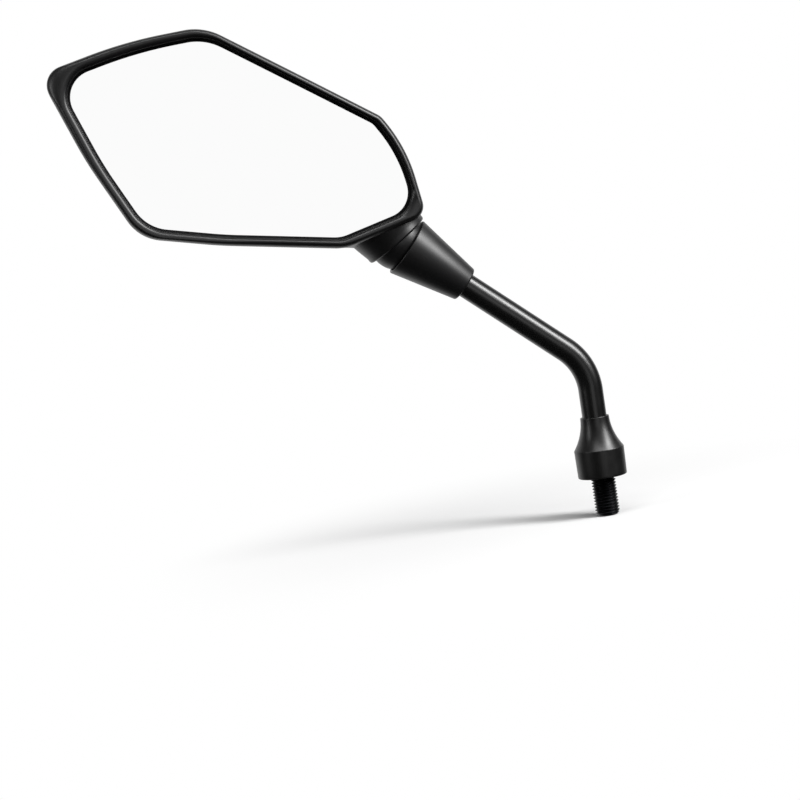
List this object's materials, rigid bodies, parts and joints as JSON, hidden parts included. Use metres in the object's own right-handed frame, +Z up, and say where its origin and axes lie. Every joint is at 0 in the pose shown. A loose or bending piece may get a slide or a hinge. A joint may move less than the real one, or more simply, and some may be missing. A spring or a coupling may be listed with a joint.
{
  "type": "motorcycle mirror",
  "caption": "Left-hand handlebar mirror: bent rod stem with threaded foot and rubber boot, tapered cover, sprung ball joint, angular black head with convex glass.",
  "frame": {"origin": "on the stud's axis, in the plane of the lock nut's seat", "axes": "+Z up the stem's lower run, -Y the way the glass faces, towards the rider, -X outboard, to the rider's left"},
  "size_m": [0.2065, 0.0376, 0.2144],
  "materials": {
    "stem": "satin black coated steel rod",
    "lock_nut": "black zinc-plated steel",
    "boot": "matt black rubber",
    "cover_ring": "matt black rubber",
    "ball": "bright turned steel",
    "seat_ring": "natural nylon",
    "pressure_cup": "natural nylon",
    "spring": "bright spring steel",
    "socket": "matt black glass-filled nylon",
    "block": "die-cast zinc",
    "shell": "satin black moulded plastic",
    "carrier": "black moulded plastic",
    "screws": "zinc-plated steel",
    "foam": "dark foam tape",
    "glass": "silvered convex glass"
  },
  "bodies": {
    "stem": {"stem": "stem", "lock_nut": "lock_nut", "tapered_cover": "shell", "cover_ring": "cover_ring", "ball": "ball"},
    "boot": {"boot": "boot"},
    "seat": {"seat_ring": "seat_ring"},
    "cup": {"pressure_cup": "pressure_cup", "spring_washer": "spring", "preload_spring": "spring"},
    "head": {"socket_cap": "socket", "socket_block": "block", "block_screws": "screws", "rear_cover": "shell", "glass_carrier": "carrier", "carrier_screws": "screws", "foam_tape": "foam", "mirror_glass": "glass", "bezel": "shell"}
  },
  "joints": [
    {"name": "boot_slide", "type": "slide", "parent": "stem", "child": "boot", "axis": [0, 0, 1], "range_m": [0, 0.01]},
    {"name": "head_swing", "type": "hinge", "parent": "stem", "child": "seat", "pos_m": [-0.06981, 0, 0.10719], "axis": [-0.7547, 0, 0.6561], "continuous": true},
    {"name": "head_tilt", "type": "hinge", "parent": "seat", "child": "cup", "pos_m": [-0.06981, 0, 0.10719], "axis": [0, 1, 0], "range_deg": [-35, 2]},
    {"name": "head_turn", "type": "hinge", "parent": "cup", "child": "head", "pos_m": [-0.06981, 0, 0.10719], "axis": [-0.5373, 0, 0.8434], "continuous": true}
  ]
}
